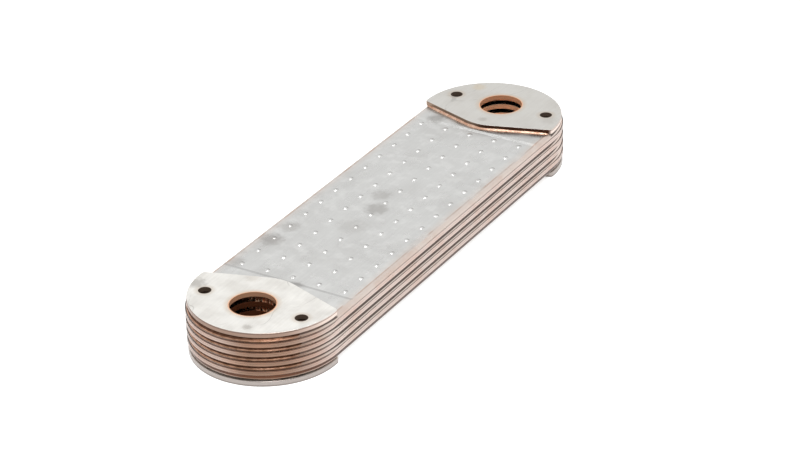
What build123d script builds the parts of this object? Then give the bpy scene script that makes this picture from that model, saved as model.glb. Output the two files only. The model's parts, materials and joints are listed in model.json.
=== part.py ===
from build123d import *
import os

# Brazed plate heat exchanger core of the immersed, open-stack kind.
# Millimetres. X runs along the core, Z is up, the origin is on the floor
# under the middle of the core. Both fluid ports face up, one at each end.

# ---- driving dimensions: the flanges ----
PORT_SPACING = 252.0        # between the two port centres
PORT_D = 23.5               # port bore in the flange
SHEET_PORT_D = 24.3         # port hole in every shell below it
BOLT_SPACING = 57.0         # between the two bolt holes of one flange
BOLT_HOLE_D = 6.6           # clearance for M6
FLANGE_R = 40.0             # round end of a flange
END_CENTRE_X = 113.1        # centre of the round ends, from mid-length
FLANGE_CORNER_X = 110.6     # where the inner edge meets the long side
FLANGE_VERTEX_X = 97.4      # where the two halves of the inner edge would meet
VERTEX_ROUND = 24.0         # radius of the blunt V of the inner edge
CORNER_ROUND = 2.0          # radius of the two flange corners
TOP_FLANGE_T = 2.6
BOTTOM_FLANGE_T = 3.0
BOTTOM_FLANGE_OUT = 1.0     # bottom flanges sit this much further out than the top ones
EDGE_ROUND = 0.3            # broken outer edges of a flange

# ---- driving dimensions: one flat cell of the stack ----
CELLS = 4
PITCH = 5.25                # height of one cell
SHEET = 0.6                 # sheet thickness
CELL_CENTRE_X = 113.8       # centre of the cells' round ends, from mid-length
RIM_R = 40.6                # outside of the rim, round that centre
WALL_R = 40.1               # lid's wall, which stands inside the rim
CREASE_R = 37.9             # where the lid's flat top bends down
KNEE_R = 39.6               # foot of the sloping shoulder, top of the steep wall
KNEE_DROP = 1.4             # how far that lies below the end pad
CREASE_ROUND = 1.0
KNEE_ROUND = 0.5
KNEE_INSET = (0.51, 0.35)   # the same knee on the inside of the sheet: in and down
CREASE_INSET = 0.2          # the same crease on the inside of the sheet: in
RIM_DROP = 2.35             # rim's upper edge below the end pad
RIM_H = 2.35                # height of the rim
LIP_BEVEL_W = 0.25          # crevice between lid and rim: width and depth
LIP_BEVEL_H = 0.35
SEAM = 0.12                 # hairline rolled round the middle of the rim
FOOT_R = 40.0               # where the rim turns in under the cell
FLOOR_R = 38.6              # edge of the flat underside
WALL_LAP = 1.5              # how far the lid's wall reaches down inside the rim
PAD_STEP = 0.4              # end pads stand this far above the dimpled field
PAD_EDGE_X = 94.0           # where the field ends and the slope begins
STEP_RUN = 2.2              # length of the slope between field and pad
BASE_T = 3.0                # plate under the lowest cell
BASE_R = 40.0
BASE_ROUND = 2.0            # rounding of its lower edge

# ---- dimples: one grid, the same on every shell ----
DIMPLE_COLUMNS = 13
DIMPLE_ROWS = 5
DIMPLE_PITCH_X = 15.0
DIMPLE_PITCH_Y = 15.4
DIMPLE_R = 1.75
DIMPLE_ROOT = 0.2           # how far a dome reaches into its own sheet
HOLLOW_ROOT = 0.05          # the same for the hollow behind it

# ---- port collars, bushes and fins inside each cell ----
COLLAR_T = 0.6
COLLAR_H = 1.3
BUSH_D = 12.0
FIN_T = 0.25
FLUTE = 2.1                 # width of one flute, half of a wave
FLUTES = 34
FIN_STEP_X = 96.6           # low fins under the field, tall ones beyond
FIN_END_X = 113.0           # fins stop just short of the port collars

# ---- copper bead along the inner edge of each flange ----
BEAD_W = 0.9
BEAD_H = 0.9
BEAD_BULGE = 0.55           # how full its face is, as a share of width and height
BEAD_END_GAP = 0.08         # share of each half edge left bare at the corner

HEIGHT = TOP_FLANGE_T + CELLS * PITCH + BASE_T + BOTTOM_FLANGE_T
STACK_TOP = HEIGHT - TOP_FLANGE_T
BASE_TOP_Z = BOTTOM_FLANGE_T + BASE_T
PORT_X = PORT_SPACING / 2
BOLT_Y = BOLT_SPACING / 2
RIM_LOW = RIM_DROP + RIM_H
SEAM_DROP = RIM_DROP + RIM_H / 2
WALL_DROP = RIM_DROP + WALL_LAP
UP, DOWN = 1, -1
ENDS = {"left": -1, "right": 1}

# The shells are drawn with the top of their end pads at z = 0 and then lifted.


def stadium(radius, z_low, z_high):
    """Solid with straight long sides, round ends and upright walls."""
    outline = Pos(0, 0, z_low) * SlotCenterToCenter(2 * CELL_CENTRE_X, 2 * radius)
    return extrude(outline, z_high - z_low)


def rounded_stadium(radius, z_low, z_high, round_r):
    """Stadium with its upper edge rounded."""
    block = stadium(radius, z_low, z_high)
    return fillet(block.faces().sort_by(Axis.Z)[-1].edges(), round_r)


def tapered_stadium(radius_low, z_low, radius_high, z_high):
    """Stadium whose wall slopes evenly from one radius to another."""
    low = Pos(0, 0, z_low) * SlotCenterToCenter(2 * CELL_CENTRE_X, 2 * radius_low)
    high = Pos(0, 0, z_high) * SlotCenterToCenter(2 * CELL_CENTRE_X, 2 * radius_high)
    return loft([low, high])


def field_pocket(z_floor, side):
    """What the sunken field takes away from a shell, above or below z_floor."""
    depth = 2 * PAD_STEP
    run = STEP_RUN * depth / PAD_STEP
    z_open = z_floor + side * depth
    profile = Polyline(
        (-PAD_EDGE_X, z_floor), (PAD_EDGE_X, z_floor),
        (PAD_EDGE_X + run, z_open), (-PAD_EDGE_X - run, z_open),
        close=True,
    )
    return extrude(make_face(Plane.XZ * profile), RIM_R + 1, both=True)


def dimple_spots():
    """Centres of the dimples, on a grid about the middle of the core."""
    mid_col, mid_row = (DIMPLE_COLUMNS - 1) / 2, (DIMPLE_ROWS - 1) / 2
    return [
        ((col - mid_col) * DIMPLE_PITCH_X, (row - mid_row) * DIMPLE_PITCH_Y)
        for col in range(DIMPLE_COLUMNS)
        for row in range(DIMPLE_ROWS)
    ]


def dimple_caps(z_face, side, ball_offset, root):
    """Ball caps on a flat face that looks up or down, one for each dimple."""
    ball_r = (DIMPLE_R**2 + PAD_STEP**2) / (2 * PAD_STEP)
    ball = Pos(0, 0, side * (PAD_STEP - ball_r)) * Sphere(ball_r - ball_offset)
    slab_low = -ball_offset - root
    slab = Pos(0, 0, side * (slab_low + ball_r)) * Box(2 * ball_r, 2 * ball_r, 2 * ball_r)
    cap = ball & slab
    return [Pos(x, y, z_face) * cap for x, y in dimple_spots()]


def with_dimples(shell, z_face, side):
    """Press the dimples: domes on one side of the sheet, hollows on the other."""
    domed = shell + dimple_caps(z_face, side, 0.0, DIMPLE_ROOT)
    return domed - dimple_caps(z_face, side, SHEET, HOLLOW_ROOT)


def drill(shape, port_d, z_low, z_high):
    """Take the port and bolt holes of both ends out of a plate or shell."""
    depth = z_high - z_low
    z_mid = (z_low + z_high) / 2
    holes = []
    for side in ENDS.values():
        if port_d:
            holes.append(Pos(side * PORT_X, 0, z_mid) * Cylinder(port_d / 2, depth))
        for row in (-1, 1):
            spot = Pos(side * PORT_X, row * BOLT_Y, z_mid)
            holes.append(spot * Cylinder(BOLT_HOLE_D / 2, depth))
    return shape - holes


def lid_block(crease_r, z_top, knee_r, z_knee, wall_r, z_low):
    """Solid under a lid's surface: flat top, sloping shoulder, steep wall, short skirt."""
    block = tapered_stadium(knee_r, z_knee, crease_r, z_top)
    block += tapered_stadium(wall_r, -RIM_DROP, knee_r, z_knee)
    return block + stadium(wall_r, z_low, -RIM_DROP)


def upper_shell():
    """Pressed lid of a cell: flat top, sloping shoulder and a steep short wall."""
    outside = lid_block(CREASE_R, 0, KNEE_R, -KNEE_DROP, WALL_R, -WALL_DROP)
    for height, radius in ((-KNEE_DROP, KNEE_ROUND), (0, CREASE_ROUND)):
        outside = fillet(outside.edges().filter_by_position(Axis.Z, height, height), radius)
    outside -= field_pocket(-PAD_STEP, UP)
    knee_in, knee_down = KNEE_INSET
    inside = lid_block(
        CREASE_R - CREASE_INSET, -SHEET, KNEE_R - knee_in, -KNEE_DROP - knee_down,
        WALL_R - SHEET, -WALL_DROP - 1,
    )
    inside -= field_pocket(-PAD_STEP - SHEET, UP)
    shell = with_dimples(outside - inside, -PAD_STEP, UP)
    return drill(shell, SHEET_PORT_D, -PITCH, 1)


def lower_shell():
    """Pressed floor of a cell, its edge turned up round the lid to make the rim."""
    outside = stadium(RIM_R, -RIM_LOW, -RIM_DROP)
    outside += tapered_stadium(FLOOR_R, -PITCH, FOOT_R, -RIM_LOW)
    outside -= field_pocket(-PITCH + PAD_STEP, DOWN)
    hairline = stadium(RIM_R + 1, -SEAM_DROP - SEAM / 2, -SEAM_DROP + SEAM / 2)
    outside -= hairline - stadium(RIM_R - SEAM, -RIM_LOW, -RIM_DROP)
    inside = stadium(WALL_R, -RIM_LOW + SHEET, 0)
    inside += tapered_stadium(FLOOR_R - SHEET, -PITCH + SHEET, WALL_R, -RIM_LOW + SHEET)
    inside += tapered_stadium(WALL_R, -RIM_DROP - LIP_BEVEL_H, WALL_R + LIP_BEVEL_W, -RIM_DROP)
    inside -= field_pocket(-PITCH + PAD_STEP + SHEET, DOWN)
    shell = with_dimples(outside - inside, -PITCH + PAD_STEP, DOWN)
    collar_top = -PITCH + SHEET + COLLAR_H
    for side in ENDS.values():
        spot = Pos(side * PORT_X, 0, (collar_top - PITCH) / 2)
        shell += spot * Cylinder(SHEET_PORT_D / 2 + COLLAR_T, collar_top + PITCH)
    return drill(shell, SHEET_PORT_D, -PITCH - 1, 0)


def fin_profile(z_low, z_high):
    """Square wave of thin sheet across the core, as a closed outline."""
    half = FIN_T / 2
    y_start = -FLUTES * FLUTE / 2
    z_low, z_high = z_low + half, z_high - half
    upper = [(y_start - FLUTE / 2, z_low + half)]
    lower = [(y_start - FLUTE / 2, z_low - half)]
    for flute in range(FLUTES):
        y = y_start + flute * FLUTE
        rising = flute % 2 == 0
        first, last = (z_low, z_high) if rising else (z_high, z_low)
        lean = -half if rising else half
        upper += [(y + lean, first + half), (y + lean, last + half)]
        lower += [(y - lean, first - half), (y - lean, last - half)]
    y_end = y_start + (FLUTES - 0.5) * FLUTE
    upper.append((y_end, z_low + half))
    lower.append((y_end, z_low - half))
    return make_face(Plane.YZ * Polyline(*upper, *reversed(lower), close=True))


def turbulator():
    """Folded fin sheet that fills a cell between its two ports."""
    ceiling, floor = -SHEET, -PITCH + SHEET
    low_fin = fin_profile(floor + PAD_STEP, ceiling - PAD_STEP)
    fins = extrude(low_fin, FIN_STEP_X, both=True)
    tall_fin = fin_profile(floor, ceiling)
    reach = FIN_END_X - FIN_STEP_X
    for x_start in (-FIN_END_X, FIN_STEP_X):
        fins += Pos(x_start, 0, 0) * extrude(tall_fin, reach, dir=(1, 0, 0))
    return fins


def bolt_bushes():
    """Rings that keep the fluid away from the bolt holes inside a cell."""
    height = PITCH - 2 * SHEET
    ring = Cylinder(BUSH_D / 2, height) - Cylinder(BOLT_HOLE_D / 2, height)
    rings = [
        Pos(side * PORT_X, row * BOLT_Y, -PITCH / 2) * ring
        for side in ENDS.values()
        for row in (-1, 1)
    ]
    return Compound(children=rings)


def flange_edge_points():
    """Corner, vertex and corner of a flange's inner edge at the right end."""
    corner_y = (FLANGE_R**2 - (END_CENTRE_X - FLANGE_CORNER_X) ** 2) ** 0.5
    low = (FLANGE_CORNER_X, -corner_y)
    return low, (FLANGE_VERTEX_X, 0), (FLANGE_CORNER_X, corner_y)


def flange(thickness):
    """Blank of a right end's flange, lying on z = 0, before it is drilled."""
    low, vertex, high = flange_edge_points()
    tip = (END_CENTRE_X + FLANGE_R, 0)
    outline = make_face([ThreePointArc(low, tip, high), Line(high, vertex), Line(vertex, low)])
    by_x = outline.vertices().sort_by(Axis.X)
    outline = fillet(by_x[0], VERTEX_ROUND)
    corners = outline.vertices().filter_by(lambda v: abs(v.Y) > 0.9 * FLANGE_R)
    outline = fillet(corners, CORNER_ROUND)
    body = extrude(outline, thickness)
    return fillet(body.edges().filter_by(lambda e: e.bounding_box().size.Z < EDGE_ROUND), EDGE_ROUND)


def braze_bead(side):
    """Copper bead at the foot of the right flange's inner edge, above or below."""
    low, vertex, high = flange_edge_points()
    start = Vector(*low) + (Vector(*vertex) - Vector(*low)) * BEAD_END_GAP
    end = Vector(*high) + (Vector(*vertex) - Vector(*high)) * BEAD_END_GAP
    path = FilletPolyline(start, vertex, end, radius=VERTEX_ROUND)
    section_plane = Plane(origin=path @ 0, x_dir=(0, 0, 1), z_dir=path % 0)
    bulge = ThreePointArc((BEAD_H, 0), (BEAD_BULGE * BEAD_H, -BEAD_BULGE * BEAD_W), (0, -BEAD_W))
    section = make_face([Line((0, 0), (BEAD_H, 0)), bulge, Line((0, -BEAD_W), (0, 0))])
    bead = sweep(section_plane * section, path)
    return bead if side == UP else mirror(bead, Plane.XY)


def base_plate():
    """Plate that closes the ports under the lowest cell."""
    upside_down = rounded_stadium(BASE_R, -BASE_TOP_Z, -BOTTOM_FLANGE_T, BASE_ROUND)
    plate = mirror(upside_down, Plane.XY)
    plate -= field_pocket(BOTTOM_FLANGE_T + PAD_STEP, DOWN)
    return drill(plate, 0, BOTTOM_FLANGE_T - 1, BASE_TOP_Z + 1)


def build_parts():
    """All pieces in place, by node name."""
    parts = {}
    top_flange = drill(Pos(0, 0, STACK_TOP) * flange(TOP_FLANGE_T), PORT_D, STACK_TOP - 1, HEIGHT + 1)
    outwards = Pos(BOTTOM_FLANGE_OUT, 0, 0)
    bottom_flange = drill(outwards * flange(BOTTOM_FLANGE_T), 0, -1, BOTTOM_FLANGE_T + 1)
    top_bead = Pos(0, 0, STACK_TOP) * braze_bead(UP)
    bottom_bead = outwards * Pos(0, 0, BOTTOM_FLANGE_T) * braze_bead(DOWN)
    at_right = {
        "top_flange": top_flange,
        "bottom_flange": bottom_flange,
        "top_braze_bead": top_bead,
        "bottom_braze_bead": bottom_bead,
    }
    for name, piece in at_right.items():
        parts[name + "_right"] = piece
        parts[name + "_left"] = mirror(piece, Plane.YZ)
    cell_pieces = {
        "upper_shell": upper_shell(),
        "lower_shell": lower_shell(),
        "turbulator": turbulator(),
        "bolt_bushes": bolt_bushes(),
    }
    for cell in range(CELLS):
        lift = Pos(0, 0, STACK_TOP - cell * PITCH)
        for name, piece in cell_pieces.items():
            parts[f"{name}_{cell + 1}"] = lift * piece
    parts["base_plate"] = base_plate()
    return parts


os.makedirs("parts", exist_ok=True)
for node, shape in build_parts().items():
    export_step(shape, f"parts/{node}.step")
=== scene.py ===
import json
import math
import random
from types import SimpleNamespace

import bmesh
import bpy
from mathutils import Matrix, Vector


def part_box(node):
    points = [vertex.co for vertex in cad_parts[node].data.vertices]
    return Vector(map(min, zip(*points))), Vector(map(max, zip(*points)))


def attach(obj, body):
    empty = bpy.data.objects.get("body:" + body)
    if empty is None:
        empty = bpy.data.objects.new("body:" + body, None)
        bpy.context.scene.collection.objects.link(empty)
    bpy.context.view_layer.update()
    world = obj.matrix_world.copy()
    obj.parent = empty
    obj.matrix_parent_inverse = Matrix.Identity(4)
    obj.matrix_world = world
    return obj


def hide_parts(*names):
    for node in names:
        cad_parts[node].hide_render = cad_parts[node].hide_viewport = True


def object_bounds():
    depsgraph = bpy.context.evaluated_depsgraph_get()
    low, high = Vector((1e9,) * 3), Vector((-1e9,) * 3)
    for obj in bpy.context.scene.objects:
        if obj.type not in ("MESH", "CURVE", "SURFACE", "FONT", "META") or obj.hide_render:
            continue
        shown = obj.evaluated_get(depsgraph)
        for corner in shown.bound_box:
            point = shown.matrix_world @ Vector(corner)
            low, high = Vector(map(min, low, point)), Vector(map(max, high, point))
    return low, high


# A brazed plate heat exchanger core of the immersed kind: four flat cells of thin
# stainless sheet, brazed with copper, between two pairs of end flanges.

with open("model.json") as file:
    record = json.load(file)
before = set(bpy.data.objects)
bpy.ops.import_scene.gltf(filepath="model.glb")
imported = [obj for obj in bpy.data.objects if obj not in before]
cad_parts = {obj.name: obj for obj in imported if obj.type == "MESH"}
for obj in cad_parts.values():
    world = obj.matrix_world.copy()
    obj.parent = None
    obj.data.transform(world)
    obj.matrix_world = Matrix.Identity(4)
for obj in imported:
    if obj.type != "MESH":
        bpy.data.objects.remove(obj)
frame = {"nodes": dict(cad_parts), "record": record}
cad_low, cad_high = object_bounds()

# ---- sizes, in metres ----
MM = 0.001
MOUNTS = {mount["name"]: mount for mount in frame["record"]["mounts"]}
TOP_Z = cad_high.z
STACK_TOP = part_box("top_flange_left")[0].z
CELLS = sum(name.startswith("upper_shell") for name in frame["nodes"])
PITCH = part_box("upper_shell_1")[1].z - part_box("upper_shell_2")[1].z
RIM_R = cad_high.y                              # outside of a cell's rim
CELL_CENTRE_X = cad_high.x - RIM_R              # centre of the cells' round ends
PORT_X = MOUNTS["right_port"]["pos_m"][0]
BOLT_Y = MOUNTS["flange_bolts"]["dims"]["spacing_y_mm"] / 2 * MM
BOTTOM_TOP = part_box("bottom_flange_left")[1].z
KNEE_R = 39.6 * MM                              # foot of a lid's sloping shoulder
GROOVE_REACH = 98                               # degrees each way round an end
GROOVE_STEPS = 110
EDGE_CORNER_X, EDGE_CORNER_Y = 110.6 * MM, 39.92 * MM    # ends of a flange's inner edge
EDGE_VERTEX_X, VERTEX_ROUND = 97.4 * MM, 24 * MM         # its blunt V
BOTTOM_OUT = 1.0 * MM                           # bottom flanges sit further out
BEAD_REACH = 38.6 * MM                          # a bead ends this far from the middle
BEAD_STEPS = 90
BLOB_Y, BLOB_W = 3 * MM, 3 * MM                 # fuller blob of a bead, near the vertex
FIELD_DROP = 0.4 * MM                           # how far the dimpled field is sunk
FIN_STEP_X = 96.6 * MM                          # fins are low under the field, tall beyond
FIN_T = 0.42 * MM                               # drawn thicker than the sheet, to show the folds
FLUTE = 2.1 * MM                                # half of one fin wave
FLUTES = 34
FIN_STRIP = 4.0 * MM                            # length of one lanced strip
FIN_LEAN = 0.22 * MM                            # how much a fin wall leans

# ---- painted shade in the grooves, in metres ----
GROOVE_ABOVE = 0.60 * MM                        # dark reaches this far up onto the rim above
SIDE_GROOVE = 1.9 * MM                          # and this far down the next shoulder, long sides
END_GROOVE = 1.3 * MM                           # the same round the ends
CREVICE_DROP = 2.45 * MM                        # crevice between lid and rim, below the lid's top
GROOVE_TURN = (106 * MM, 122 * MM)              # long-side grooves pass into end ones here
CREVICE_TURN = (110 * MM, 130 * MM)             # the crevice darkens over this stretch

# ---- where a finish begins and ends, in metres ----
END_WASH = (112 * MM, 146 * MM)                 # copper wash deepens, from mid-length out
FRONT_DARKER = (-14 * MM, 4 * MM)                 # and the walls are drawn browner on this side of an end
EDGE_WASH = (33 * MM, 38 * MM)                  # wash creeping in over a lid's long edges
BEND_Y = 37.7 * MM                              # where a lid's top bends down
PORT_LINING = (12.0 * MM, 12.6 * MM)            # copper in a flange's port, from its axis
PORT_TINT = (12.2 * MM, 15.5 * MM)              # heat tint round it
PORT_FLOOD = (13.0 * MM, 14.5 * MM)             # copper over the sheets round a port
BOLT_LINING = (3.35 * MM, 3.5 * MM)             # lining of a bolt hole, painted dark as shade, from its axis
BOLT_TINT = (3.5 * MM, 6.5 * MM)                # heat tint round it
TOP_LEVEL = (10 * MM, 12 * MM)                  # marks of the top flanges stay above this
V_EDGE = (110 * MM, 111.5 * MM)                 # a flange's V edge lies nearer mid-length
LOW_EDGE = (4 * MM, 5 * MM)                     # edges below this belong to the bottom flanges
FOOT_CONTACT_SHADOW = (0.6 * MM, 1.2 * MM)                # painted contact shadow at the foot of the bottom flanges

# ---- light ----
FLOOR_GLOW = 0.62
ROOM_LEVEL = 1.0
SIDE_LEVEL = 0.12
DARK_SIDE = (-0.80, -0.50, 0.33)                # towards the dark side of the room
FAR_LAMP_AT, FAR_LAMP_SIDE, FAR_LAMP_WATTS = (0.44, 0.27, 1.1), 0.22, 1.4
NEAR_LAMP_AT, NEAR_LAMP_SIDE, NEAR_LAMP_WATTS = (-0.61, -0.38, 1.02), 0.4, 9.0

# ---- marks on the plate and the flanges: centre, radius, colour, amount ----
PLATE_SMUDGES = (
    ((-0.008, 0.000), 8 * MM, "96938F", 0.55),
    ((0.006, 0.006), 7 * MM, "9B9894", 0.45),
    ((-0.062, 0.031), 8 * MM, "928E8A", 0.60),
    ((-0.046, 0.030), 7 * MM, "A39F9B", 0.45),
    ((-0.030, 0.002), 10 * MM, "ABA8A4", 0.35),
    ((-0.096, -0.006), 5 * MM, "8A8683", 0.60),
    ((-0.090, 0.034), 6 * MM, "A09C98", 0.45),
    ((0.098, 0.026), 6 * MM, "8E8B87", 0.55),
)
FLANGE_MARKS = (
    ((-0.122, 0.036), 6 * MM, "9F9A94", 0.60),
    ((-0.146, -0.010), 3 * MM, "A8A39C", 0.60),
    ((0.140, 0.022), 5 * MM, "CDBB9D", 0.45),
    ((0.105, 0.000), 3 * MM, "A9A49C", 0.55),
    ((-0.104, 0.014), 5 * MM, "C7C0B6", 0.45),
    ((0.121, -0.033), 6 * MM, "B4AFA8", 0.45),
)

# ---- camera: where it stands and what it looks at, in metres and degrees ----
CAMERA_AT = Vector((-1.0798, -0.6726, 0.7037))
CAMERA_YAW = 31.58
CAMERA_PITCH = 28.5
CAMERA_ROLL = -1.67
CAMERA_LENS = 123.25
SENSOR_WIDTH = 36.0

# ---- the words that the finishes use for nodes, with each node's settings ----
NODE_WORDS = {
    "coordinates": ("ShaderNodeTexCoord", {}),
    "light_path": ("ShaderNodeLightPath", {}),
    "split": ("ShaderNodeSeparateXYZ", {}),
    "join": ("ShaderNodeCombineXYZ", {}),
    "noise": ("ShaderNodeTexNoise", {}),
    "bump": ("ShaderNodeBump", {}),
    # value, low, high, and what it gives at low and at high (0 and 1 unless said)
    "ramp": ("ShaderNodeMapRange", {"interpolation_type": "SMOOTHSTEP"}),
    # amount, colour under, colour over
    "blend": ("ShaderNodeMix", {"data_type": "RGBA"}),
    "times": ("ShaderNodeMath", {"operation": "MULTIPLY"}),
    "times_plus": ("ShaderNodeMath", {"operation": "MULTIPLY_ADD"}),
    "minus": ("ShaderNodeMath", {"operation": "SUBTRACT"}),
    "plus": ("ShaderNodeMath", {"operation": "ADD"}),
    "unsigned": ("ShaderNodeMath", {"operation": "ABSOLUTE"}),
    "larger": ("ShaderNodeMath", {"operation": "MAXIMUM"}),
    "remainder": ("ShaderNodeMath", {"operation": "MODULO"}),
    "stretched": ("ShaderNodeVectorMath", {"operation": "MULTIPLY"}),
    "apart": ("ShaderNodeVectorMath", {"operation": "DISTANCE"}),
    "facing": ("ShaderNodeVectorMath", {"operation": "DOT_PRODUCT"}),
    "metal": ("ShaderNodeBsdfPrincipled", {}),
    "matt": ("ShaderNodeBsdfDiffuse", {}),
    "glow": ("ShaderNodeEmission", {}),
    "both": ("ShaderNodeAddShader", {}),
    "sky": ("ShaderNodeBackground", {}),
    "finish_out": ("ShaderNodeOutputMaterial", {}),
    "sky_out": ("ShaderNodeOutputWorld", {}),
}


def linear(hex_colour):
    """Linear RGBA of an sRGB hex colour."""
    channels = [int(hex_colour[i:i + 2], 16) / 255 for i in (0, 2, 4)]
    return [c / 12.92 if c <= 0.04045 else ((c + 0.055) / 1.055) ** 2.4 for c in channels] + [1]


def add(tree, word, *inputs, **named):
    """Add a node with its settings. Inputs fill its sockets in order, or by name, _ for a space."""
    kind, settings = NODE_WORDS[word]
    made = tree.nodes.new(kind)
    for name, value in settings.items():
        setattr(made, name, value)
    sockets = [socket for socket in made.inputs if socket.enabled]
    by_name = {socket.name.replace(" ", "_"): socket for socket in sockets}
    for socket, value in [*zip(sockets, inputs), *((by_name[n], v) for n, v in named.items())]:
        if isinstance(value, bpy.types.Node):
            value = next(output for output in value.outputs if output.enabled)
        if isinstance(value, bpy.types.NodeSocket):
            tree.links.new(value, socket)
        else:
            socket.default_value = value
    return made


def new_material(name):
    """Empty node material, as (material, tree)."""
    material = bpy.data.materials.new(name)
    material.use_nodes = True
    material.node_tree.nodes.clear()
    return material, material.node_tree


# ---------------------------------------------------------------- looks shared by the finishes
def spots(tree):
    """Where a point lies on the core, in metres; from_middle is along, counted from mid-length."""
    place = add(tree, "coordinates").outputs["Object"]
    split = add(tree, "split", place)
    return SimpleNamespace(
        place=place, along=split.outputs["X"], across=split.outputs["Y"], up=split.outputs["Z"],
        from_middle=add(tree, "unsigned", split.outputs["X"]),
    )


def cloud(tree, place, size, low, high, detail=4.0, stretch=(1, 1, 1)):
    """Cloudy amount 0..1 whose patches are about one size, in metres, across."""
    noise = add(tree, "noise", add(tree, "stretched", place, stretch), 1 / size, detail)
    return add(tree, "ramp", noise, low, high)


def patch(tree, place, centre, radius, ragged=0.5):
    """Amount that is 1 inside a ragged spot on the top face and 0 outside it."""
    flat = add(tree, "stretched", place, (1, 1, 0))
    apart = add(tree, "apart", flat, (*centre, 0))
    noise = add(tree, "noise", place, 3 / radius, 5.0)
    bent = add(tree, "times_plus", noise, 2 * ragged * radius, apart)
    return add(tree, "ramp", bent, radius * (0.3 + ragged), radius * (1.1 + ragged), 1.0, 0.0)


def stained(tree, colour, place, marks, where=1.0):
    """Colour with a list of marks laid over it, as far as the finish allows them."""
    for centre, radius, stain, amount in marks:
        spot = add(tree, "times", patch(tree, place, centre, radius), amount)
        colour = add(tree, "blend", add(tree, "times", spot, where), colour, linear(stain))
    return colour


def hole_distance(tree, spot, centre_y):
    """Distance from the axis of the nearest hole that stands level with a port."""
    beside = add(tree, "unsigned", spot.across)
    flat = add(tree, "join", spot.from_middle, beside)
    return add(tree, "apart", flat, (PORT_X, centre_y, 0))


def upward(tree, low=0.80, high=0.97):
    """1 on faces that look up or down, 0 on walls."""
    split = add(tree, "split", add(tree, "coordinates").outputs["Normal"])
    return add(tree, "ramp", add(tree, "unsigned", split.outputs["Z"]), low, high)


def stack_levels(tree, spot):
    """Depth below the top lid, and the same counted afresh from each groove's upper limit."""
    depth = add(tree, "minus", STACK_TOP, spot.up)
    lifted = add(tree, "plus", depth, GROOVE_ABOVE)
    return depth, add(tree, "remainder", lifted, PITCH)


def groove_shade(tree, spot):
    """Painted shade in the grooves between cells: wide on the long sides, narrow round the ends."""
    depth, phase = stack_levels(tree, spot)
    limit = add(tree, "ramp", spot.from_middle, *GROOVE_TURN,
                GROOVE_ABOVE + SIDE_GROOVE, GROOVE_ABOVE + END_GROOVE)
    inside = add(tree, "minus", limit, phase)
    soft = add(tree, "ramp", inside, -0.10 * MM, 0.15 * MM)
    # The first shoulder is open to the light except under a flange.
    covered = add(tree, "larger", add(tree, "ramp", depth, 3.0 * MM, 3.4 * MM),
                  add(tree, "ramp", spot.from_middle, 110 * MM, 112 * MM))
    return add(tree, "times", soft, covered)


def crevice_shade(tree, spot):
    """Painted shade in the crevice between a lid and its rim, strongest round the ends."""
    phase = stack_levels(tree, spot)[1]
    off = add(tree, "unsigned", add(tree, "minus", phase, GROOVE_ABOVE + CREVICE_DROP))
    near = add(tree, "ramp", off, 0.15 * MM, 0.45 * MM, 1.0, 0.0)
    return add(tree, "times", near, add(tree, "ramp", spot.from_middle, *CREVICE_TURN, 0.05, 0.80))


def finish_metal(tree, colour, roughness, relief, depth, metallic=1.0):
    """Metal with a fine relief, joined to the material's output."""
    normal = add(tree, "bump", Height=relief, Strength=1.0, Distance=depth)
    metal = add(tree, "metal", Base_Color=colour, Metallic=metallic, Roughness=roughness,
                Normal=normal)
    add(tree, "finish_out", metal)


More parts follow.
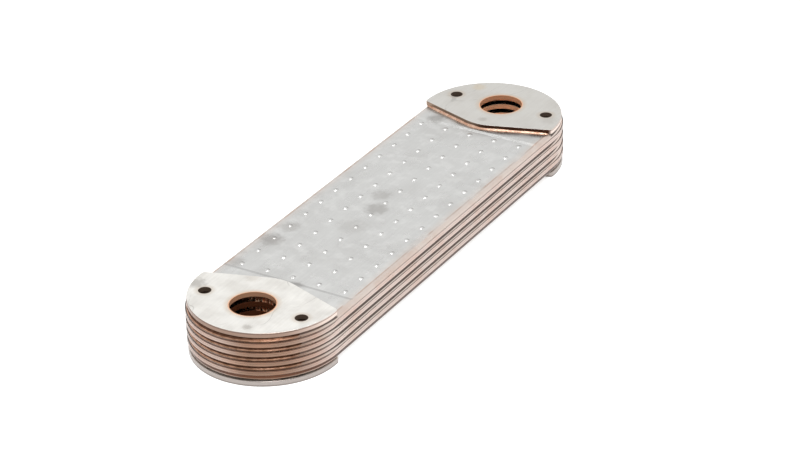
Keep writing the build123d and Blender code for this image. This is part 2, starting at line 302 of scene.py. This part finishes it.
# ---------------------------------------------------------------- finishes
def stamped_flange_steel():
    """Bright annealed stainless plate, stamped.

    It gives the eye a pale satin top with a faint grain, thin rings of heat tint round the holes,
    and browner sheared edges.
    """
    material, tree = new_material("bright_annealed_stainless_plate_stamped")
    spot = spots(tree)
    # The far flange is drawn a little greyer than the near one.
    greyer = add(tree, "ramp", spot.along, -0.08, 0.10)
    colour = add(tree, "blend", greyer, linear("EDEBE6"), linear("D0CEC9"))
    # Cloudy furnace haze, patches about 12 mm across.
    haze = add(tree, "times", cloud(tree, spot.place, 12 * MM, 0.35, 0.75), 0.35)
    colour = add(tree, "blend", haze, colour, linear("BDB8B0"))
    # Fine rolling grain along the sheet, 0.3 mm wide: drawn three times coarser to show.
    grain = cloud(tree, spot.place, 1.0 * MM, 0.3, 0.7, 2.0, (0.06, 1, 1))
    colour = add(tree, "blend", add(tree, "times", grain, 0.10), colour, linear("A9A49D"))
    # Heat tint in thin rings round the port and the bolt holes.
    off_port = hole_distance(tree, spot, 0)
    on_top = add(tree, "ramp", spot.up, *TOP_LEVEL)
    ring = add(tree, "times", add(tree, "ramp", off_port, *PORT_TINT, 0.5, 0.0), on_top)
    colour = add(tree, "blend", ring, colour, linear("C9B49B"))
    off_bolt = hole_distance(tree, spot, BOLT_Y)
    ring = add(tree, "ramp", off_bolt, *BOLT_TINT, 0.45, 0.0)
    colour = add(tree, "blend", ring, colour, linear("BDAC98"))
    # Handling marks: a scuffed corner, grey rubs and a yellow stain.
    colour = stained(tree, colour, spot.place, FLANGE_MARKS, on_top)
    # A few fine scratches from handling, drawn 0.25 mm wide so that they show.
    bent = add(tree, "stretched", spot.place, (0.55, 1.0, 0.0))
    waves = add(tree, "noise", bent, 1 / (26 * MM), 1.0)
    off_line = add(tree, "unsigned", add(tree, "minus", waves, 0.5))
    scratch = add(tree, "times", add(tree, "ramp", off_line, 0.001, 0.004, 0.30, 0.0),
                  cloud(tree, spot.place, 9 * MM, 0.45, 0.6))
    colour = add(tree, "blend", scratch, colour, linear("7E7A75"))
    # Sheared edge: browner than the face, with a line of painted shade just under the top.
    tinted = add(tree, "ramp", spot.from_middle, *END_WASH)
    edge = add(tree, "blend", tinted, linear("DCCCC2"), linear("8E776A"))
    below_top = add(tree, "minus", TOP_Z, spot.up)
    line = add(tree, "times", add(tree, "ramp", below_top, 0.2 * MM, 0.4 * MM),
               add(tree, "ramp", below_top, 0.6 * MM, 0.9 * MM, 0.75, 0.0))
    edge = add(tree, "blend", line, edge, linear("6A5850"))
    # The bottom flanges' edges are greyer, and a painted contact shadow darkens them to a line at
    # the foot.
    low_edge = add(tree, "ramp", spot.up, *LOW_EDGE, 1.0, 0.0)
    edge = add(tree, "blend", low_edge, edge, linear("A8A09B"))
    foot = add(tree, "ramp", spot.up, *FOOT_CONTACT_SHADOW, 0.6, 0.0)
    edge = add(tree, "blend", foot, edge, linear("6E6661"))
    # The V edge that looks along the core is painted dark as shade, darkest on the near half.
    inner = add(tree, "ramp", spot.from_middle, *V_EDGE, 1.0, 0.0)
    nearness = add(tree, "ramp", spot.across, -6 * MM, 6 * MM)
    painted_shade_colour = add(tree, "blend", nearness, linear("4A2E22"), linear("8A7464"))
    edge = add(tree, "blend", inner, edge, painted_shade_colour)
    colour = add(tree, "blend", upward(tree), edge, colour)
    # The ports are lined with the copper that ran in during brazing; the bolt holes are painted
    # dark as shade.
    bore = add(tree, "times", add(tree, "ramp", off_port, *PORT_LINING, 0.9, 0.0), on_top)
    colour = add(tree, "blend", bore, colour, linear("D9A27C"))
    bolt_hole_shade = add(tree, "ramp", off_bolt, *BOLT_LINING, 1.0, 0.0)
    colour = add(tree, "blend", bolt_hole_shade, colour, linear("5F5045"))
    # The linings are dull, so they keep their colour where a hole is in shade.
    dull = add(tree, "times", add(tree, "ramp", off_port, *PORT_LINING, 0.35, 1.0),
               add(tree, "ramp", off_bolt, *BOLT_LINING, 0.1, 1.0))
    rough = add(tree, "times_plus", cloud(tree, spot.place, 5 * MM, 0.3, 0.7), 0.10, 0.28)
    relief = add(tree, "noise", spot.place, 1 / (0.8 * MM), 3.0)
    finish_metal(tree, colour, rough, relief, 0.006 * MM, dull)
    return material


def pressed_sheet(name, wall_far, wall_end):
    """Copper-washed stainless sheet, pressed.

    It gives the eye a grey cloudy satin top with smudges, and walls that are pale along the core
    and coppery round its ends, with painted shade in the grooves.
    """
    material, tree = new_material(name)
    spot = spots(tree)
    place = spot.place
    # Furnace haze and grease, 25 mm patches over 6 mm ones, and then the separate smudges.
    haze = add(tree, "times", cloud(tree, place, 25 * MM, 0.42, 0.70), 0.28)
    colour = add(tree, "blend", haze, linear("CDCDCB"), linear("B2B0AD"))
    pale = add(tree, "times", cloud(tree, place, 6 * MM, 0.45, 0.70), 0.30)
    colour = add(tree, "blend", pale, colour, linear("E6E6E4"))
    colour = stained(tree, colour, place, PLATE_SMUDGES)
    # Rolling grain along the sheet, drawn coarser than it is.
    grain = cloud(tree, place, 1.2 * MM, 0.35, 0.7, 2.0, (0.05, 1, 1))
    colour = add(tree, "blend", add(tree, "times", grain, 0.06), colour, linear("8F8B87"))
    # Copper wash creeping in from the long edges, and a tan line where the top bends down.
    beside = add(tree, "unsigned", spot.across)
    creep = add(tree, "ramp", beside, *EDGE_WASH, 0.0, 0.16)
    colour = add(tree, "blend", creep, colour, linear("D9B9A4"))
    off_bend = add(tree, "unsigned", add(tree, "minus", beside, BEND_Y))
    bend = add(tree, "times", add(tree, "ramp", off_bend, 0.2 * MM, 0.7 * MM, 0.55, 0.0),
               cloud(tree, place, 14 * MM, 0.35, 0.6))
    colour = add(tree, "blend", bend, colour, linear("B08A70"))
    # Flanks of the dimples and of the near step that look along the core are in shade.
    lean = add(tree, "split", add(tree, "coordinates").outputs["Normal"])
    shaded = add(tree, "ramp", lean.outputs["X"], 0.10, 0.30, 0.0, 0.75)
    colour = add(tree, "blend", shaded, colour, linear("5F5B58"))
    # Walls. The copper wash deepens towards each end, and the walls are drawn browner round the
    # front of each end than round its back.
    end = add(tree, "times", add(tree, "ramp", spot.from_middle, *END_WASH),
              add(tree, "ramp", spot.across, *FRONT_DARKER, 1.0, 0.45))
    wall = add(tree, "blend", end, linear(wall_far), linear(wall_end))
    streak = add(tree, "times", cloud(tree, place, 9 * MM, 0.40, 0.75, 3.0), 0.22)
    wall = add(tree, "blend", streak, wall, linear("B98466"))
    # Painted shade: the grooves between cells and the crevice under each lid are darkened where the
    # cells shade each other.
    painted_shade_colour = add(tree, "blend", end, linear("33211A"), linear("583626"))
    wall = add(tree, "blend", add(tree, "times", groove_shade(tree, spot), 0.88), wall, painted_shade_colour)
    wall = add(tree, "blend", crevice_shade(tree, spot), wall, linear("54362A"))
    colour = add(tree, "blend", upward(tree, 0.72, 0.97), wall, colour)
    # Copper flooded the port walls and the inside of the cells; it is painted darker as shade in
    # the near port and paler as lit in the far port.
    off_port = hole_distance(tree, spot, 0)
    near_port = add(tree, "ramp", off_port, *PORT_FLOOD, 1.0, 0.0)
    far_port_lit = add(tree, "ramp", spot.along, -0.10, 0.10)
    flooded = add(tree, "blend", far_port_lit, linear("6E4029"), linear("FFCFA8"))
    colour = add(tree, "blend", near_port, colour, flooded)
    # It is duller than the sheet, so it keeps its colour in the shade of the port.
    dull = add(tree, "ramp", off_port, *PORT_FLOOD, 0.55, 1.0)
    rough = add(tree, "times_plus", cloud(tree, place, 8 * MM, 0.3, 0.7), 0.10, 0.26)
    relief = add(tree, "noise", place, 1 / (2.5 * MM), 3.0)
    finish_metal(tree, colour, rough, relief, 0.012 * MM, dull)
    return material


def flowed_copper(name, bright, dull, metallic=1.0, in_groove=False):
    """Braze copper as it froze: smooth and mottled, with duller patches about 3 mm across."""
    material, tree = new_material(name)
    spot = spots(tree)
    mottle = cloud(tree, spot.place, 3 * MM, 0.35, 0.7)
    colour = add(tree, "blend", mottle, linear(bright), linear(dull))
    if in_groove:
        # Painted shade on the copper in the grooves, where the cells shade each other.
        shade = add(tree, "times", groove_shade(tree, spot), 0.85)
        colour = add(tree, "blend", shade, colour, linear("3A1E10"))
    rough = add(tree, "times_plus", cloud(tree, spot.place, 1.5 * MM, 0.3, 0.7), 0.2, 0.36)
    relief = add(tree, "noise", spot.place, 1 / (0.7 * MM), 3.0)
    finish_metal(tree, colour, rough, relief, 0.05 * MM, metallic)
    return material


# ---------------------------------------------------------------- pieces
def mesh_piece(name, mesh, material, replaces=None):
    """Finish a mesh as one named piece of the core."""
    data = bpy.data.meshes.new(name)
    mesh.to_mesh(data)
    mesh.free()
    piece = bpy.data.objects.new(name, data)
    bpy.context.collection.objects.link(piece)
    data.materials.append(material)
    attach(piece, "root")
    if replaces:
        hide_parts(replaces)
    return piece


def fin_strip(mesh, x_start, x_end, z_low, z_high, shift):
    """One lanced strip of the fin sheet: a folded wave of flat-topped flutes."""
    half = FIN_T / 2
    first = -FLUTES * FLUTE / 2 + shift
    level = (z_low + half, z_high - half)
    line = [(first, level[0])]
    for flute in range(FLUTES - 1):
        y = first + (flute + 0.5) * FLUTE
        line += [(y - FIN_LEAN, level[flute % 2]), (y + FIN_LEAN, level[(flute + 1) % 2])]
    line.append((first + (FLUTES - 1) * FLUTE, level[(FLUTES - 1) % 2]))
    over, under = [], []
    for index, (y, z) in enumerate(line):
        before, after = line[max(index - 1, 0)], line[min(index + 1, len(line) - 1)]
        run = Vector((after[0] - before[0], after[1] - before[1])).normalized()
        dy, dz = -run.y * half, run.x * half
        over.append((y + dy, z + dz))
        under.append((y - dy, z - dz))
    loop = over + under[::-1]
    rings = [[mesh.verts.new((x, y, z)) for y, z in loop] for x in (x_start, x_end)]
    count, half_count = len(loop), len(over)
    for i in range(count):
        j = (i + 1) % count
        mesh.faces.new((rings[0][i], rings[0][j], rings[1][j], rings[1][i]))
    for ring in rings:
        for i in range(half_count - 1):
            corners = (ring[i], ring[i + 1], ring[count - 2 - i], ring[count - 1 - i])
            mesh.faces.new(corners if ring is rings[1] else corners[::-1])


def lanced_fins(cell, material):
    """Offset-strip fin sheet inside one cell, each strip half a flute aside of the last."""
    node = f"turbulator_{cell}"
    low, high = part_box(node)
    mesh = bmesh.new()
    for index in range(round((high.x - low.x) / FIN_STRIP)):
        x_start = low.x + index * FIN_STRIP
        x_mid = abs(x_start + FIN_STRIP / 2)
        inset = 0.0 if x_mid > FIN_STEP_X else FIELD_DROP
        shift = FLUTE / 2 * (index % 2)
        fin_strip(mesh, x_start, x_start + FIN_STRIP, low.z + inset, high.z - inset, shift)
    bmesh.ops.recalc_face_normals(mesh, faces=mesh.faces)
    return mesh_piece(f"lanced_fin_sheet_{cell}", mesh, material, node)


def skin_rings(mesh, rings):
    """Join a row of equal rings into a closed tube with capped ends."""
    count = len(rings[0])
    for first, second in zip(rings, rings[1:]):
        for i in range(count):
            j = (i + 1) % count
            face = mesh.faces.new((first[i], first[j], second[j], second[i]))
            face.smooth = True
    mesh.faces.new(rings[0][::-1])
    mesh.faces.new(rings[-1])
    bmesh.ops.recalc_face_normals(mesh, faces=mesh.faces)


def groove_copper(end, cell, material):
    """Copper drawn in round one end above a cell's sloping shoulder, thick and thin by turns."""
    top = STACK_TOP - cell * PITCH
    side = 1 if end == "right" else -1
    chance = random.Random(100 * cell + len(end))
    phases = [chance.uniform(0, math.tau) for _ in range(4)]
    mesh = bmesh.new()
    rings = []
    for step in range(GROOVE_STEPS + 1):
        share = step / GROOVE_STEPS
        angle = math.radians(GROOVE_REACH * (2 * share - 1))
        wave = sum(math.sin(2.3 * (k + 2) * angle + phase) / (k + 2)
                   for k, phase in enumerate(phases))
        fade = min(1.0, 4 * share, 4 * (1 - share))
        sunk = 1.0 * (1 - fade)
        bulge = (0.14 + 0.08 * wave) * fade
        # Section in mm, out from the knee and up from the lid's top; the open face bulges.
        section = (
            (-1.6, 0.05), (-0.95, -0.62 + bulge), (-0.2, -1.22 + bulge), (0.06 + bulge, -1.5),
            (0.28 + 0.5 * bulge, -1.95), (-0.3, -1.9), (-1.4, -0.9),
        )
        rings.append([
            mesh.verts.new((
                side * (CELL_CENTRE_X + (KNEE_R + (out - sunk) * MM) * math.cos(angle)),
                (KNEE_R + (out - sunk) * MM) * math.sin(angle), top + up * MM,
            ))
            for out, up in section
        ])
    skin_rings(mesh, rings)
    return mesh_piece(f"groove_copper_{end}_{cell + 1}", mesh, material)


def inner_edge_x(y):
    """Distance from mid-length to a flange's blunt V edge, at a place across the core."""
    slope = (EDGE_CORNER_X - EDGE_VERTEX_X) / EDGE_CORNER_Y
    lean = math.sqrt(1 + slope * slope)
    if abs(y) < VERTEX_ROUND * slope / lean:
        return EDGE_VERTEX_X + VERTEX_ROUND * lean - math.sqrt(VERTEX_ROUND ** 2 - y * y)
    return EDGE_VERTEX_X + slope * abs(y)


def flowed_bead(node, material):
    """Copper bead along a flange's inner edge: uneven, fullest at the vertex, thin at the ends."""
    side = 1 if node.endswith("right") else -1
    foot, up = (STACK_TOP, 1) if node.startswith("top") else (BOTTOM_TOP, -1)
    out = 0.0 if up == 1 else BOTTOM_OUT
    chance = random.Random(len(node))
    phases = [chance.uniform(0, math.tau) for _ in range(5)]
    mesh = bmesh.new()
    rings = []
    for step in range(BEAD_STEPS + 1):
        share = 2 * step / BEAD_STEPS - 1
        y = share * BEAD_REACH
        wave = sum(math.sin((3 + 4 * k) * share + phase) / (k + 3)
                   for k, phase in enumerate(phases))
        blob = 0.35 * math.exp(-((y - BLOB_Y) / BLOB_W) ** 2)
        fade = min(1.0, 0.25 + 6 * (1 - abs(share)))
        full = (1.0 + 0.2 * wave + blob) * fade * MM
        x = inner_edge_x(y) + out
        # Section: away from the edge and off the sheet; its hollow face looks out.
        section = (
            (-0.25 * MM, -0.08 * MM), (full, -0.08 * MM), (0.72 * full, 0.16 * full),
            (0.34 * full, 0.44 * full), (0.12 * full, 0.95 * full), (-0.25 * MM, 0.95 * full),
        )
        rings.append([mesh.verts.new((side * (x - w), y, foot + up * h)) for w, h in section])
    skin_rings(mesh, rings)
    return mesh_piece(f"flowed_{node}", mesh, material, node)


# ---------------------------------------------------------------- studio
def make_camera():
    data = bpy.data.cameras.new("camera")
    data.lens = CAMERA_LENS
    data.sensor_width = SENSOR_WIDTH
    data.clip_start, data.clip_end = 0.01, 20
    camera = bpy.data.objects.new("camera", data)
    bpy.context.collection.objects.link(camera)
    yaw, pitch, roll = (math.radians(a) for a in (CAMERA_YAW, CAMERA_PITCH, CAMERA_ROLL))
    ahead = Vector((math.cos(pitch) * math.cos(yaw), math.cos(pitch) * math.sin(yaw),
                    -math.sin(pitch)))
    right = ahead.cross(Vector((0, 0, 1))).normalized()
    up = right.cross(ahead)
    right, up = (
        math.cos(roll) * right + math.sin(roll) * up,
        math.cos(roll) * up - math.sin(roll) * right,
    )
    turn = Matrix((right, up, -ahead)).transposed().to_4x4()
    camera.matrix_world = Matrix.Translation(CAMERA_AT) @ turn
    bpy.context.scene.camera = camera


def square_lamp(name, place, side, watts):
    """Square softbox aimed at the middle of the core, out of the camera's sight."""
    data = bpy.data.lights.new(name, "AREA")
    data.shape = "RECTANGLE"
    data.size = data.size_y = side
    data.energy = watts
    lamp = bpy.data.objects.new(name, data)
    bpy.context.collection.objects.link(lamp)
    aim = (-Vector(place)).to_track_quat("-Z", "Y")
    lamp.matrix_world = Matrix.Translation(place) @ aim.to_matrix().to_4x4()
    lamp.visible_camera = False


def make_floor():
    """White table: plain white to the eye and in reflections, but it keeps the shadow."""
    bpy.ops.mesh.primitive_plane_add(size=6)
    floor = bpy.context.object
    floor.name = "floor"
    material, tree = new_material("matt_white_table")
    path = add(tree, "light_path").outputs
    seen = add(tree, "larger", path["Is Camera Ray"], path["Is Glossy Ray"])
    seen = add(tree, "larger", seen, path["Is Transmission Ray"])
    matt = add(tree, "matt", linear("D8D8D8"))
    glow = add(tree, "glow", linear("FFFFFF"), add(tree, "times", seen, FLOOR_GLOW))
    add(tree, "finish_out", add(tree, "both", matt, glow))
    floor.data.materials.append(material)


def make_world():
    """White room with a dark side behind the camera, low down, that the near walls reflect."""
    world = bpy.data.worlds.new("studio")
    bpy.context.scene.world = world
    world.use_nodes = True
    tree = world.node_tree
    tree.nodes.clear()
    toward = add(tree, "coordinates").outputs["Generated"]
    facing = add(tree, "facing", toward, DARK_SIDE).outputs["Value"]
    darkness = add(tree, "ramp", facing, 0.45, 0.95)
    level = add(tree, "times_plus", darkness, SIDE_LEVEL - ROOM_LEVEL, ROOM_LEVEL)
    seen = add(tree, "larger", add(tree, "light_path").outputs["Is Camera Ray"], level)
    add(tree, "sky_out", add(tree, "sky", linear("FFFFFF"), seen))


def make_studio():
    make_world()
    make_floor()
    # The far lamp puts the glints on the dimples; the near one lights the insides of the ports.
    square_lamp("compact_softbox", FAR_LAMP_AT, FAR_LAMP_SIDE, FAR_LAMP_WATTS)
    square_lamp("high_softbox_behind_camera", NEAR_LAMP_AT, NEAR_LAMP_SIDE, NEAR_LAMP_WATTS)


# ---------------------------------------------------------------- make it
make_camera()
flange_steel = stamped_flange_steel()
# Lids: pinkish pale walls along the core. Rims: the same sheet, painted greyer and browner as
# shade.
lid_steel = pressed_sheet("copper_washed_stainless_lid_pressed", "DCCFC6", "AC8771")
shaded_rim_steel = pressed_sheet("copper_washed_stainless_rim_pressed", "C4B3AB", "8A7060")
# Bright salmon beads along the flanges.
bead_copper = flowed_copper("braze_copper_flowed", "DDBBA5", "BD9076")
# Browner copper down in the grooves, painted dark as shade where the rim above covers it.
seam_copper = flowed_copper("braze_copper_in_grooves", "BC927A", "977058", in_groove=True)
# Fin sheet: a thin dull plating, so that the folds stay light in the shade of the ports.
fin_copper = flowed_copper("copper_plated_fin_sheet_lanced", "FFD9B8", "F0AC84", 0.15)
# Bolt bushes: painted nearly black brown as the shade deep in the holes, and dull.
bolt_bush_shade_copper = flowed_copper("braze_copper_scorched_in_bolt_holes", "7A6759", "564539", 0.1)
finishes = {
    "top_flange": flange_steel, "bottom_flange": flange_steel, "upper_shell": lid_steel,
    "lower_shell": shaded_rim_steel, "base": shaded_rim_steel, "turbulator": fin_copper,
    "bolt_bushes": bolt_bush_shade_copper, "top_braze_bead": bead_copper, "bottom_braze_bead": bead_copper,
}
for name, node in frame["nodes"].items():
    node.data.materials.clear()
    node.data.materials.append(finishes[name.rsplit("_", 1)[0]])
for cell in range(1, CELLS + 1):
    lanced_fins(cell, fin_copper)
for end in ("left", "right"):
    for cell in range(CELLS):
        groove_copper(end, cell, seam_copper)
    for level in ("top", "bottom"):
        flowed_bead(f"{level}_braze_bead_{end}", bead_copper)
make_studio()

bpy.context.scene.view_settings.view_transform = "Standard"
